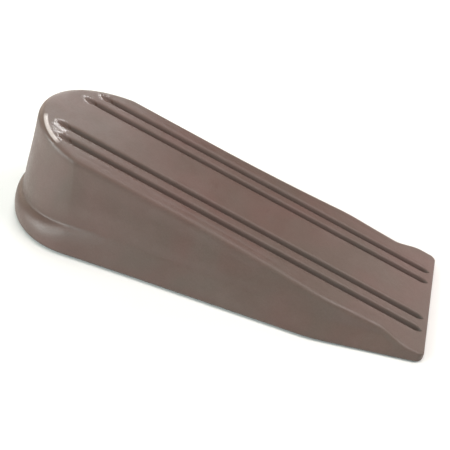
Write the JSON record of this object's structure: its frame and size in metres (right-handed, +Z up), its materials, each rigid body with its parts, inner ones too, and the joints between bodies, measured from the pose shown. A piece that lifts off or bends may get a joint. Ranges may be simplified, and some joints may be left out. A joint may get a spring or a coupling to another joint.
{
  "type": "door wedge",
  "caption": "Moulded rubber door wedge with a round heel, a flared foot, a thin toe and lengthwise grooves along its sloping top.",
  "frame": {"origin": "on the floor, at the middle of the footprint's length and width", "axes": "+X runs lengthwise from the round heel to the thin toe, +Y across the wedge, +Z up; the XZ plane is the plane of symmetry"},
  "size_m": [0.1206, 0.0508, 0.0299],
  "materials": {
    "moulded_rubber": "satin, fine moulded grain, brown",
    "tread_rubber": "matt, soft, dark brown"
  },
  "bodies": {
    "root": {"wedge_body": "moulded_rubber", "tread_pad": "tread_rubber"}
  },
  "joints": []
}
